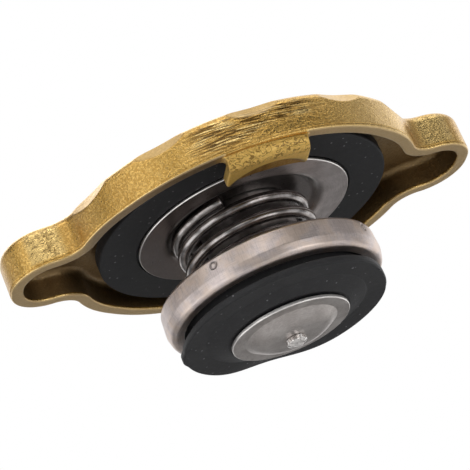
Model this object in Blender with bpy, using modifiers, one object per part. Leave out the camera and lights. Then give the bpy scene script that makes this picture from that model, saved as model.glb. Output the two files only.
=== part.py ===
"""Pressure cap for a filler neck: a drawn cover with two finger ears and two bayonet tabs, and the valves under it.

The frame is the installed one, in metres. Z is the cap's axis and runs up to the cover's top, X runs through the two
ears, and the origin lies on the axis in the plane where the neck gasket seals.
"""

import math

import bmesh
import bpy
from mathutils import Matrix

MM = 0.001

# Fits
SEAT_GAP = 0.30 * MM        # clearance left where one piece seats on or runs in another

# Neck gasket, a flat rubber ring
GASKET_RADIUS = 23.65 * MM
GASKET_THICKNESS = 2.20 * MM
GASKET_EDGE = 0.35 * MM     # chamfer of its outer edges

# Spring disc, the stainless plate that holds the gasket and seats the main spring
DISC_RADIUS = 17.32 * MM
DISC_SHEET = 0.50 * MM
DISC_PROUD = 0.40 * MM      # how far its rim stands below the gasket's sealing face
SEAT_DEPTH = 1.30 * MM      # depth of the pocket that the spring sits in
SEAT_PLAY = 0.35 * MM       # between the pocket's wall and the coil where they come closest
SEAT_BEND = 0.60 * MM

# Guide, a can with a flange at its top and a lip turned in at its foot
GUIDE_STEP = 2.20 * MM      # how much wider it is than the sleeve
GUIDE_SHEET = 0.80 * MM
GUIDE_FLANGE_WIDTH = 3.10 * MM

# Friction disc between the gasket and the cover
FRICTION_INSET = 0.75 * MM  # how far its rim stays inside the gasket's
FRICTION_SHEET = 0.40 * MM
FRICTION_FLAT = 12.00 * MM  # radius of its flat middle

# Cover
COVER_SHEET = 2.05 * MM
GASKET_SPACE = 0.95 * MM    # between the gasket's rim and the cover's wall, along Y
COVER_OVAL = 1.08           # how much wider the round is along X than along Y
RIM_DROP = 1.05 * MM        # how far the rim reaches below the gasket's sealing face
EAR_HALF = 7.42 * MM        # half an ear's width
EAR_FLAT = 0.50 * MM        # half the flat at its tip
EAR_STRAIGHT = 0.10 * MM    # straight side between the neck's fillet and the tip's corner
NECK_FILLET = 4.50 * MM     # radius between the round and the ear
TOP_ROUND = 1.60 * MM       # outer edge round at the top
RIM_ROUND = 0.50 * MM
CEILING_FILLET = 1.20 * MM

# Finger scallops, leaning scoops out of the cover's top edge
SCALLOP_STEP = math.radians(32)
SCALLOP_HALF = 5.80 * MM    # half its width at the top
SCALLOP_DEPTH = 1.30 * MM   # at the level of the cover's top
SCALLOP_HEIGHT = 2.20 * MM  # from the top down to its crisp lower edge

# Bayonet tabs on the Y axis
TAB_HALF_WIDTH = 6.35 * MM
TAB_REACH = 6.45 * MM       # from the cover's outer face in to the tab's inner edge
TAB_DROP = 2.10 * MM        # from the rim down to the tab's underside
TAB_SHEET = 1.60 * MM
TAB_BEND = 1.80 * MM        # outer radius of the bend
RELIEF_RADIUS = 6.70 * MM   # coined relief in the tab's underside
RELIEF_CUT_IN = 2.80 * MM   # how far the relief runs back from the tab's inner edge
RELIEF_DEPTH = 0.50 * MM

# Rivet that the cover turns on
RIVET_RADIUS = 2.20 * MM
RIVET_HEAD_RADIUS = 4.60 * MM
RIVET_HEAD_HEIGHT = 1.10 * MM
RIVET_FOOT_RADIUS = 3.80 * MM
RIVET_FOOT_HEIGHT = 0.80 * MM

# Pressure valve
SEAL_REACH = 17.80 * MM     # from the gasket's sealing face down to the pressure seal's face
SEAL_RADIUS = 16.80 * MM
SEAL_BAND = 1.40 * MM       # height of the seal's outer rim
SEAL_NECK_GAP = 0.80 * MM   # between the cup's lip and the seal's neck
SEAL_STANDOFF = 1.20 * MM   # open groove between the rim and the cup's lip
SEAL_FLAT_WIDTH = 3.60 * MM
SEAL_CROWN = 1.00 * MM      # how far the middle of the seal stands below its flat
SEAL_SEAT_WIDTH = 3.40 * MM
SEAL_BORE = 6.50 * MM
CUP_OVERHANG = 0.80 * MM    # how much wider its crease is than the seal
CUP_SHEET = 0.60 * MM
CUP_HEIGHT = 4.85 * MM
CUP_CREASE_DROP = 3.05 * MM  # from the cup's top down to the crease
CUP_TAPER = 0.15 * MM       # how much smaller it is above the crease
CUP_FOOT_TAPER = 0.45 * MM  # and below it
CUP_TOP_ROUND = 0.60 * MM
CUP_FOOT_ROUND = 1.00 * MM
CUP_LIP_WIDTH = 2.40 * MM   # from the crease in to the lip's edge
SHOULDER_GRIP = 0.70 * MM   # how far the seal's shoulder reaches past the cup's lip
WASHER_THICKNESS = 0.80 * MM
WASHER_EDGE_GAP = 0.90 * MM  # between the seal washer's rim and the cup's wall
PRESSURE_LIFT = 2.00 * MM

# Valve sleeve that slides in the guide
SLEEVE_RADIUS = 5.20 * MM
SLEEVE_SHEET = 0.70 * MM
SLEEVE_FLANGE_WIDTH = 3.80 * MM
VENT_RADIUS = 0.70 * MM
VENT_COUNT = 4

# Vacuum valve
VACUUM_RADIUS = 9.55 * MM
VACUUM_SHEET = 0.60 * MM
VACUUM_RING_WIDTH = 2.10 * MM
VACUUM_SLOPE_WIDTH = 2.35 * MM
VACUUM_DOME = 1.50 * MM
STEM_RADIUS = 1.50 * MM
STEM_GROOVE_DEPTH = 0.70 * MM
STEM_TIP = 0.80 * MM        # length above the clip's groove
COLLAR_RADIUS = 2.60 * MM
COLLAR_HEIGHT = 0.70 * MM
STAKE_RADIUS = 2.00 * MM
STAKE_HEIGHT = 0.80 * MM
STAKE_SLOT = 0.50 * MM
CLIP_RADIUS = 3.40 * MM
CLIP_SHEET = 0.60 * MM
CLIP_DROP = 0.60 * MM       # how far the clip lies above the sleeve's top edge

# Springs
MAIN_PLAY = 1.15 * MM       # between the guide and the coil where they come closest
MAIN_WIRE = 1.90 * MM
MAIN_TURNS = 3.75
MAIN_CLOSED = 0.85          # turns at each end that lie almost on the next one
MAIN_CUT_ANGLE = math.radians(-112)
MAIN_SHIFT = 0.65 * MM      # how far the coil sits off the axis, towards -X
VACUUM_COIL_RADIUS = 2.70 * MM
VACUUM_WIRE = 0.50 * MM
VACUUM_TURNS = 5.5
VACUUM_CLOSED = 0.75
CLOSED_PITCH = 1.05         # how far a closed turn drops, in wires

# Roundness of the turned pieces, in steps to the turn
OUTER_STEPS = 56
INNER_STEPS = 36
SMALL_STEPS = 24
COIL_POINTS = 20

# Levels along Z, worked out from the gasket's sealing face upwards
disc_rim_z = -DISC_PROUD
disc_seat_z = disc_rim_z + SEAT_DEPTH
guide_flange_z = disc_seat_z + DISC_SHEET + SEAT_GAP
guide_top_z = guide_flange_z + GUIDE_SHEET
friction_rim_z = GASKET_THICKNESS + SEAT_GAP
friction_middle_z = max(guide_top_z, GASKET_THICKNESS) + SEAT_GAP
ceiling_z = friction_middle_z + FRICTION_SHEET + SEAT_GAP
cover_top_z = ceiling_z + COVER_SHEET
rim_z = -RIM_DROP

# Levels along Z, worked out from the pressure seal's face upwards
seal_face_z = -SEAL_REACH
seal_band_z = seal_face_z + SEAL_BAND
cup_foot_z = seal_band_z + SEAL_STANDOFF
cup_top_z = cup_foot_z + CUP_HEIGHT
cup_under_z = cup_top_z - CUP_SHEET
sleeve_plate_z = cup_under_z - SEAT_GAP
washer_z = sleeve_plate_z - SLEEVE_SHEET - SEAT_GAP
seal_top_z = washer_z - WASHER_THICKNESS - SEAT_GAP
shoulder_z = cup_foot_z + CUP_SHEET + SEAT_GAP
seal_crown_z = seal_face_z - SEAL_CROWN
guide_foot_z = cup_top_z + PRESSURE_LIFT + SEAT_GAP
guide_lip_z = guide_foot_z + GUIDE_SHEET
sleeve_flare_z = guide_lip_z + SEAT_GAP
sleeve_top_z = sleeve_flare_z + SLEEVE_SHEET
vacuum_ring_z = seal_crown_z - SEAT_GAP
clip_z = sleeve_top_z + CLIP_DROP

# Radii that follow from a neighbour
cover_half_y = GASKET_RADIUS + GASKET_SPACE + COVER_SHEET
cover_half_x = cover_half_y * COVER_OVAL
neck_x = math.sqrt((cover_half_x + NECK_FILLET) ** 2 - (EAR_HALF + NECK_FILLET) ** 2)
rivet_hole_radius = RIVET_RADIUS + SEAT_GAP
guide_radius = SLEEVE_RADIUS + GUIDE_STEP
guide_bore_radius = guide_radius - GUIDE_SHEET
sleeve_bore_radius = SLEEVE_RADIUS - SLEEVE_SHEET
main_coil_radius = guide_radius + MAIN_PLAY + MAIN_SHIFT + MAIN_WIRE / 2
seat_radius = main_coil_radius + MAIN_WIRE / 2 + MAIN_SHIFT + SEAT_PLAY
cup_radius = SEAL_RADIUS + CUP_OVERHANG
cup_lip_radius = cup_radius - CUP_LIP_WIDTH
seal_neck_radius = cup_lip_radius - SEAL_NECK_GAP
stem_hole_radius = STEM_RADIUS + SEAT_GAP


def new_collection(name):
    """A collection linked to the scene."""
    collection = bpy.data.collections.new(name)
    bpy.context.scene.collection.children.link(collection)
    return collection


def new_material(name, color, roughness, metallic=0.0):
    """A Principled material with one colour."""
    material = bpy.data.materials.new(name)
    material.use_nodes = True
    shader = material.node_tree.nodes["Principled BSDF"]
    shader.inputs["Base Color"].default_value = (*color, 1.0)
    shader.inputs["Roughness"].default_value = roughness
    shader.inputs["Metallic"].default_value = metallic
    material.diffuse_color = (*color, 1.0)
    return material


def add_object(name, data, collection, parent=None, material=None):
    """An object for the given data, under the empty of the body that it belongs to."""
    obj = bpy.data.objects.new(name, data)
    collection.objects.link(obj)
    obj.parent = parent
    if material:
        data.materials.append(material)
    return obj


def make_cutter(obj):
    """Marks an object as a cutting tool only."""
    obj.hide_render = True
    obj.display_type = "WIRE"
    return obj


def cut(obj, cutter, operation="DIFFERENCE"):
    """Adds a Boolean modifier that works with one cutter."""
    modifier = obj.modifiers.new(f"{operation.title()} {cutter.name}", "BOOLEAN")
    modifier.operation = operation
    modifier.solver = "EXACT"
    modifier.object = cutter


def arc(centre, radius, start, end, segments):
    """Points on a circle in the profile plane, from the start angle to the end angle in degrees."""
    angles = [math.radians(start + (end - start) * i / segments) for i in range(segments + 1)]
    return [(centre[0] + radius * math.cos(a), centre[1] + radius * math.sin(a)) for a in angles]


def turned(name, profile, steps, collection, closed=True, parent=None, material=None):
    """A solid of revolution about Z. The profile runs down its outer side; a closed one makes a ring."""
    mesh = bpy.data.meshes.new(name)
    count = len(profile)
    edges = [(i, i + 1) for i in range(count - 1)]
    if closed:
        edges.append((count - 1, 0))
    mesh.from_pydata([(radius, 0.0, z) for radius, z in profile], edges, [])
    obj = add_object(name, mesh, collection, parent, material)
    screw = obj.modifiers.new("Turn", "SCREW")
    screw.axis = "Z"
    screw.steps = steps
    screw.render_steps = steps
    screw.use_merge_vertices = True
    screw.merge_threshold = 0.00001
    screw.use_smooth_shade = True
    return obj


def cover_outline():
    """The cover seen along its axis: a round, pressed in along Y, with an ear on each side of X."""
    corner = EAR_HALF - EAR_FLAT
    neck_turn = math.degrees(math.atan2(EAR_HALF + NECK_FILLET, neck_x))
    quarter = arc((0.0, 0.0), cover_half_x, 90.0, neck_turn, 18)
    quarter += arc((neck_x, EAR_HALF + NECK_FILLET), NECK_FILLET, 180.0 + neck_turn, 270.0, 5)[1:]
    quarter += arc((neck_x + EAR_STRAIGHT, EAR_FLAT), corner, 90.0, 0.0, 7)
    pressed = []
    for x, y in quarter:
        share = min(max((neck_x - x) / (neck_x - 0.7 * cover_half_x), 0.0), 1.0)
        pressed.append((x, y * (1.0 + (1.0 / COVER_OVAL - 1.0) * share * share * (3.0 - 2.0 * share))))
    half = pressed + [(x, -y) for x, y in reversed(pressed)][:-1]
    return half + [(-x, -y) for x, y in half]


def inward_normals(outline):
    """The direction into the cover at each point of its outline, which runs clockwise."""
    normals = []
    for before, after in zip(outline[-1:] + outline[:-1], outline[1:] + outline[:1]):
        x, y = after[0] - before[0], after[1] - before[1]
        length = math.hypot(x, y)
        normals.append((y / length, -x / length))
    return normals


def scallop_inset(x, y, below_top):
    """How far a scallop cuts in at a point of the outline, at a depth below the cover's top."""
    turn = math.atan2(abs(x), abs(y))
    across = min(abs(turn - place * SCALLOP_STEP) for place in range(3)) * cover_half_y
    return SCALLOP_DEPTH * (1.0 - (across / SCALLOP_HALF) ** 2 - below_top / SCALLOP_HEIGHT)


def cover_shell(name, collection, parent, material):
    """The cover's drawn shell: rings of the outline stacked up the outer side and down the inner one."""
    outer = arc((RIM_ROUND, rim_z + RIM_ROUND), RIM_ROUND, 270.0, 180.0, 2)
    outer += [(0.0, cover_top_z - SCALLOP_HEIGHT * share) for share in (1.05, 0.85)]
    outer += arc((TOP_ROUND, cover_top_z - TOP_ROUND), TOP_ROUND, 180.0, 90.0, 4)
    inner = arc((COVER_SHEET + CEILING_FILLET, ceiling_z - CEILING_FILLET), CEILING_FILLET, 90.0, 180.0, 2)
    inner += [(COVER_SHEET, rim_z)]
    outline = cover_outline()
    normals = inward_normals(outline)
    shape = bmesh.new()
    rings = []
    for level, (inset, z) in enumerate(outer + inner):
        ring = []
        for (x, y), (u, v) in zip(outline, normals):
            step = inset if level >= len(outer) else max(inset, scallop_inset(x, y, cover_top_z - z))
            ring.append(shape.verts.new((x + u * step, y + v * step, z)))
        rings.append(ring)
    count = len(outline)
    top = len(outer) - 1
    for low, high in zip(rings, rings[1:]):
        if low is rings[top]:
            continue
        for i in range(count):
            j = (i + 1) % count
            shape.faces.new((low[i], low[j], high[j], high[i]))
    for i in range(count):
        j = (i + 1) % count
        shape.faces.new((rings[-1][i], rings[-1][j], rings[0][j], rings[0][i]))
    shape.faces.new(rings[top])
    shape.faces.new(rings[top + 1])
    bmesh.ops.recalc_face_normals(shape, faces=shape.faces[:])
    mesh = bpy.data.meshes.new(name)
    shape.to_mesh(mesh)
    shape.free()
    mesh.shade_smooth()
    mesh.set_sharp_from_angle(angle=math.radians(40))
    return add_object(name, mesh, collection, parent, material)


def cylinder(name, radius, length, matrix, collection, steps=SMALL_STEPS, end_radius=None):
    """A cylinder or cone about its own Z axis, from the middle of its length, placed by a matrix."""
    shape = bmesh.new()
    far = radius if end_radius is None else end_radius
    bmesh.ops.create_cone(shape, cap_ends=True, segments=steps, radius1=radius, radius2=far, depth=length)
    mesh = bpy.data.meshes.new(name)
    shape.to_mesh(mesh)
    shape.free()
    obj = add_object(name, mesh, collection)
    obj.matrix_world = matrix
    return make_cutter(obj)


def box(name, size, centre, collection, turn=0.0):
    """A box of the given size about its centre, turned about Z."""
    shape = bmesh.new()
    bmesh.ops.create_cube(shape, size=1.0, matrix=Matrix.Diagonal((*size, 1.0)))
    mesh = bpy.data.meshes.new(name)
    shape.to_mesh(mesh)
    shape.free()
    obj = add_object(name, mesh, collection)
    obj.matrix_world = Matrix.Translation(centre) @ Matrix.Rotation(turn, 4, "Z")
    return make_cutter(obj)


def coil(name, coil_radius, wire, turns, closed, top, bottom, start, points, collection, parent, material):
    """A compression spring wound right-handed from its top end down, with closed turns at each end."""
    upper = top - wire / 2
    lower = bottom + wire / 2
    flat_drop = wire * CLOSED_PITCH * closed
    curve = bpy.data.curves.new(name, "CURVE")
    curve.dimensions = "3D"
    curve.bevel_depth = wire / 2
    curve.bevel_resolution = 2
    curve.use_fill_caps = True
    spline = curve.splines.new("POLY")
    count = int(round(turns * points)) + 1
    spline.points.add(count - 1)
    for i, point in enumerate(spline.points):
        turn = turns * i / (count - 1)
        share = min(max((turn - closed) / (turns - 2 * closed), 0.0), 1.0)
        drop = flat_drop * min(turn / closed, 1.0)
        rise = flat_drop * min((turns - turn) / closed, 1.0)
        z = (upper - drop) * (1.0 - share) + (lower + rise) * share
        angle = start - 2.0 * math.pi * turn
        point.co = (coil_radius * math.cos(angle), coil_radius * math.sin(angle), z, 1.0)
    return add_object(name, curve, collection, parent, material)


def make_cover(parts, tools, parent, material):
    """The drawn cover: a shell with a flat top, scalloped edge and two tabs bent in under it."""
    cover = cover_shell("cover", parts, parent, material)
    tab_outer = cover_half_y - RIM_ROUND
    tab_root = cover_half_y - COVER_SHEET * 0.85
    tab_inner = cover_half_y - TAB_REACH
    tab_under = rim_z - TAB_DROP
    root_z = rim_z + COVER_SHEET / 2
    profile = [(tab_outer, root_z)]
    profile += arc((tab_outer - TAB_BEND, tab_under + TAB_BEND), TAB_BEND, 0.0, -90.0, 4)
    profile += [(tab_inner, tab_under), (tab_inner, tab_under + TAB_SHEET), (tab_root, tab_under + TAB_SHEET),
                (tab_root, root_z)]
    tabs = turned("bayonet_tabs", profile, OUTER_STEPS, tools)
    window = box("tab_window", (2 * TAB_HALF_WIDTH, 4 * cover_half_y, 4 * (TAB_DROP + COVER_SHEET)),
                 (0.0, 0.0, rim_z), tools)
    cut(tabs, window, "INTERSECT")
    make_cutter(tabs)
    cut(cover, tabs, "UNION")
    for side, name in ((-1, "relief_front"), (1, "relief_back")):
        middle = side * (tab_inner + RELIEF_CUT_IN - RELIEF_RADIUS)
        height = 2 * RELIEF_DEPTH
        slope = RELIEF_CUT_IN - RELIEF_DEPTH
        matrix = Matrix.Translation((0.0, middle, tab_under))
        cut(cover, cylinder(name, RELIEF_RADIUS + slope, height, matrix, tools, steps=36,
                            end_radius=RELIEF_RADIUS - slope))
    hole_matrix = Matrix.Translation((0.0, 0.0, (ceiling_z + cover_top_z) / 2))
    cut(cover, cylinder("rivet_hole", rivet_hole_radius, 3 * COVER_SHEET, hole_matrix, tools))
    return cover


def make_cover_rivet(parts, parent, material):
    """The rivet in the cover's middle: a low domed head above, and the foot that carries the guide below."""
    head_z = cover_top_z + SEAT_GAP
    foot_z = guide_flange_z - SEAT_GAP
    profile = [
        (0.0, head_z + RIVET_HEAD_HEIGHT),
        (RIVET_HEAD_RADIUS * 0.55, head_z + RIVET_HEAD_HEIGHT * 0.92),
        (RIVET_HEAD_RADIUS * 0.85, head_z + RIVET_HEAD_HEIGHT * 0.62),
        (RIVET_HEAD_RADIUS, head_z + RIVET_HEAD_HEIGHT * 0.25),
        (RIVET_HEAD_RADIUS, head_z),
        (RIVET_RADIUS, head_z),
        (RIVET_RADIUS, foot_z),
        (RIVET_FOOT_RADIUS, foot_z),
        (RIVET_FOOT_RADIUS, foot_z - RIVET_FOOT_HEIGHT * 0.6),
        (RIVET_FOOT_RADIUS * 0.85, foot_z - RIVET_FOOT_HEIGHT),
        (0.0, foot_z - RIVET_FOOT_HEIGHT),
    ]
    return turned("cover_rivet", profile, SMALL_STEPS, parts, closed=False, parent=parent, material=material)


def make_friction_disc(parts, parent, material):
    """The thin dished disc that the cover turns on, flat in its middle and low at its rim."""
    rim = GASKET_RADIUS - FRICTION_INSET
    profile = [
        (rim, friction_rim_z + FRICTION_SHEET),
        (rim, friction_rim_z),
        (FRICTION_FLAT, friction_middle_z),
        (rivet_hole_radius, friction_middle_z),
        (rivet_hole_radius, friction_middle_z + FRICTION_SHEET),
        (FRICTION_FLAT, friction_middle_z + FRICTION_SHEET),
    ]
    return turned("friction_disc", profile, INNER_STEPS, parts, parent=parent, material=material)


def make_neck_gasket(parts, parent, material):
    """The flat rubber ring that seals on the neck's rim, rebated for the spring disc."""
    rebate = DISC_RADIUS + SEAT_GAP
    rebate_z = disc_rim_z + DISC_SHEET + SEAT_GAP
    bore = seat_radius + DISC_SHEET + SEAT_GAP
    profile = [
        (GASKET_RADIUS - GASKET_EDGE, GASKET_THICKNESS),
        (GASKET_RADIUS, GASKET_THICKNESS - GASKET_EDGE),
        (GASKET_RADIUS, GASKET_EDGE),
        (GASKET_RADIUS - GASKET_EDGE, 0.0),
        (rebate, 0.0),
        (rebate, rebate_z),
        (bore, rebate_z),
        (bore, GASKET_THICKNESS),
    ]
    return turned("neck_gasket", profile, OUTER_STEPS, parts, parent=parent, material=material)


def make_spring_disc(parts, parent, material):
    """The stainless plate under the gasket, pressed up in the middle into a pocket for the main spring."""
    inner = seat_radius - SEAT_BEND
    outer = seat_radius + DISC_SHEET
    hole = guide_radius + SEAT_GAP
    profile = [(DISC_RADIUS, disc_rim_z + DISC_SHEET), (DISC_RADIUS, disc_rim_z)]
    profile += arc((seat_radius + SEAT_BEND, disc_rim_z + SEAT_BEND), SEAT_BEND, 270.0, 180.0, 2)
    profile += arc((inner, disc_seat_z - SEAT_BEND), SEAT_BEND, 0.0, 90.0, 2)
    profile += [(hole, disc_seat_z), (hole, disc_seat_z + DISC_SHEET), (inner, disc_seat_z + DISC_SHEET)]
    profile += [(outer, disc_seat_z + DISC_SHEET - SEAT_BEND), (outer, disc_rim_z + DISC_SHEET)]
    return turned("spring_disc", profile, OUTER_STEPS, parts, parent=parent, material=material)


def make_guide(parts, parent, material):
    """The guide can: its flange lies on the spring disc, and its turned-in foot catches the valve sleeve."""
    lip = SLEEVE_RADIUS + SEAT_GAP
    flange = guide_radius + GUIDE_FLANGE_WIDTH
    profile = [
        (flange, guide_top_z),
        (flange, guide_flange_z),
        (guide_radius, guide_flange_z),
        (guide_radius, guide_foot_z),
        (lip, guide_foot_z),
        (lip, guide_lip_z),
        (guide_bore_radius, guide_lip_z),
        (guide_bore_radius, guide_flange_z),
        (rivet_hole_radius, guide_flange_z),
        (rivet_hole_radius, guide_top_z),
    ]
    return turned("guide", profile, INNER_STEPS, parts, parent=parent, material=material)


def make_pressure_cup(parts, parent, material):
    """The pressed cup of the pressure valve, widest at a crease and curled in under the seal's shoulder."""
    crease_z = cup_top_z - CUP_CREASE_DROP
    small = cup_radius - CUP_TAPER
    hole = SLEEVE_RADIUS + SEAT_GAP
    top_centre = (small - CUP_TOP_ROUND, cup_top_z - CUP_TOP_ROUND)
    foot = cup_radius - CUP_FOOT_TAPER
    foot_centre = (foot - CUP_FOOT_ROUND, cup_foot_z + CUP_FOOT_ROUND)
    inner_top = max(CUP_TOP_ROUND - CUP_SHEET, CUP_SHEET / 4)
    inner_foot = max(CUP_FOOT_ROUND - CUP_SHEET, CUP_SHEET / 4)
    profile = arc(top_centre, CUP_TOP_ROUND, 90.0, 0.0, 3)
    profile += [(cup_radius, crease_z)]
    profile += arc(foot_centre, CUP_FOOT_ROUND, 0.0, -90.0, 3)
    profile += [(cup_lip_radius, cup_foot_z), (cup_lip_radius, cup_foot_z + CUP_SHEET)]
    profile += arc((foot - CUP_SHEET - inner_foot, cup_foot_z + CUP_SHEET + inner_foot), inner_foot, -90.0, 0.0, 2)
    profile += [(cup_radius - CUP_SHEET, crease_z)]
    profile += arc((small - CUP_SHEET - inner_top, cup_under_z - inner_top), inner_top, 0.0, 90.0, 2)
    profile += [(hole, cup_under_z), (hole, cup_top_z)]
    return turned("pressure_cup", profile, OUTER_STEPS, parts, parent=parent, material=material)


def make_valve_sleeve(parts, tools, parent, material):
    """The sleeve fixed under the cup's hole: it slides in the guide, and its flared top rests on the guide's lip."""
    flare = guide_bore_radius - SEAT_GAP
    flange = SLEEVE_RADIUS + SLEEVE_FLANGE_WIDTH
    profile = [
        (flare, sleeve_top_z),
        (flare, sleeve_flare_z),
        (SLEEVE_RADIUS, sleeve_flare_z),
        (SLEEVE_RADIUS, sleeve_plate_z),
        (flange, sleeve_plate_z),
        (flange, sleeve_plate_z - SLEEVE_SHEET),
        (stem_hole_radius, sleeve_plate_z - SLEEVE_SHEET),
        (stem_hole_radius, sleeve_plate_z),
        (sleeve_bore_radius, sleeve_plate_z),
        (sleeve_bore_radius, sleeve_top_z),
    ]
    sleeve = turned("valve_sleeve", profile, INNER_STEPS, parts, parent=parent, material=material)
    vent_circle = (VACUUM_COIL_RADIUS + VACUUM_WIRE / 2 + sleeve_bore_radius) / 2
    for number in range(VENT_COUNT):
        turn = math.pi / VENT_COUNT + 2.0 * math.pi * number / VENT_COUNT
        place = Matrix.Rotation(turn, 4, "Z") @ Matrix.Translation((vent_circle, 0.0, sleeve_plate_z))
        cut(sleeve, cylinder(f"vent_{number + 1}", VENT_RADIUS, 6 * SLEEVE_SHEET, place, tools, steps=12))
    return sleeve


def make_seal_washer(parts, parent, material):
    """The flat backing washer between the sleeve's flange and the rubber."""
    rim = cup_radius - CUP_TAPER - CUP_SHEET - WASHER_EDGE_GAP
    profile = [
        (rim, washer_z),
        (rim, washer_z - WASHER_THICKNESS),
        (SEAL_BORE, washer_z - WASHER_THICKNESS),
        (SEAL_BORE, washer_z),
    ]
    return turned("seal_washer", profile, INNER_STEPS, parts, parent=parent, material=material)


def make_pressure_seal(parts, parent, material):
    """The rubber pressure seal: a shoulder held in the cup, a neck through its lip, and the sealing disc below."""
    shoulder = cup_lip_radius + SHOULDER_GRIP
    edge = SEAL_BAND / 6
    flat_inner = SEAL_RADIUS - SEAL_FLAT_WIDTH
    profile = [
        (shoulder, seal_top_z),
        (shoulder, shoulder_z),
        (seal_neck_radius, shoulder_z),
        (seal_neck_radius, seal_band_z),
        (SEAL_RADIUS - edge, seal_band_z),
        (SEAL_RADIUS, seal_band_z - edge),
        (SEAL_RADIUS, seal_face_z + edge),
        (SEAL_RADIUS - edge, seal_face_z),
        (flat_inner, seal_face_z),
        (SEAL_BORE + SEAL_SEAT_WIDTH, seal_crown_z),
        (SEAL_BORE, seal_crown_z),
        (SEAL_BORE, seal_top_z),
    ]
    return turned("pressure_seal", profile, OUTER_STEPS, parts, parent=parent, material=material)


def make_vacuum_disc(parts, parent, material):
    """The vacuum valve's pressed disc: a flat ring, a sloped wall and a raised flat middle."""
    ring_inner = VACUUM_RADIUS - VACUUM_RING_WIDTH
    flat = ring_inner - VACUUM_SLOPE_WIDTH
    foot = vacuum_ring_z - VACUUM_SHEET
    lean = math.atan2(VACUUM_DOME, VACUUM_SLOPE_WIDTH)
    shift = VACUUM_SHEET * math.tan(lean / 2)
    profile = [
        (VACUUM_RADIUS, vacuum_ring_z),
        (VACUUM_RADIUS, foot),
        (ring_inner, foot),
        (flat, foot - VACUUM_DOME),
        (stem_hole_radius, foot - VACUUM_DOME),
        (stem_hole_radius, vacuum_ring_z - VACUUM_DOME),
        (flat - shift, vacuum_ring_z - VACUUM_DOME),
        (ring_inner - shift, vacuum_ring_z),
    ]
    return turned("vacuum_disc", profile, OUTER_STEPS, parts, parent=parent, material=material)


def make_vacuum_stem(parts, tools, parent, material):
    """The stem that carries the vacuum disc: a collar above the disc, a cross-staked end below, a groove on top."""
    disc_upper = vacuum_ring_z - VACUUM_DOME
    disc_lower = disc_upper - VACUUM_SHEET
    groove_top = clip_z + CLIP_SHEET + SEAT_GAP
    groove_foot = clip_z - SEAT_GAP
    groove = STEM_RADIUS - STEM_GROOVE_DEPTH
    collar_foot = disc_upper + SEAT_GAP
    stake_top = disc_lower - SEAT_GAP
    profile = [
        (0.0, groove_top + STEM_TIP),
        (STEM_RADIUS * 0.75, groove_top + STEM_TIP),
        (STEM_RADIUS, groove_top + STEM_TIP * 0.6),
        (STEM_RADIUS, groove_top),
        (groove, groove_top),
        (groove, groove_foot),
        (STEM_RADIUS, groove_foot),
        (STEM_RADIUS, collar_foot + COLLAR_HEIGHT),
        (COLLAR_RADIUS, collar_foot + COLLAR_HEIGHT),
        (COLLAR_RADIUS, collar_foot),
        (STEM_RADIUS, collar_foot),
        (STEM_RADIUS, stake_top),
        (STAKE_RADIUS, stake_top),
        (STAKE_RADIUS, stake_top - STAKE_HEIGHT * 0.6),
        (STAKE_RADIUS * 0.7, stake_top - STAKE_HEIGHT),
        (0.0, stake_top - STAKE_HEIGHT),
    ]
    stem = turned("vacuum_stem", profile, SMALL_STEPS, parts, closed=False, parent=parent, material=material)
    for number in range(2):
        slot = box(f"stake_slot_{number + 1}", (6 * STAKE_RADIUS, STAKE_SLOT, STAKE_HEIGHT),
                   (0.0, 0.0, stake_top - STAKE_HEIGHT), tools, turn=math.radians(20 + 90 * number))
        cut(stem, slot)
    return stem


def make_stem_clip(parts, tools, parent, material):
    """The open retaining clip in the stem's groove, which the vacuum spring pushes against."""
    bore = STEM_RADIUS - STEM_GROOVE_DEPTH + SEAT_GAP
    profile = [
        (CLIP_RADIUS, clip_z + CLIP_SHEET),
        (CLIP_RADIUS, clip_z),
        (bore, clip_z),
        (bore, clip_z + CLIP_SHEET),
    ]
    clip = turned("stem_clip", profile, SMALL_STEPS, parts, parent=parent, material=material)
    mouth = box("clip_mouth", (2 * CLIP_RADIUS, 2 * bore, 6 * CLIP_SHEET), (CLIP_RADIUS, 0.0, clip_z), tools)
    cut(clip, mouth)
    return clip


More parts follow.
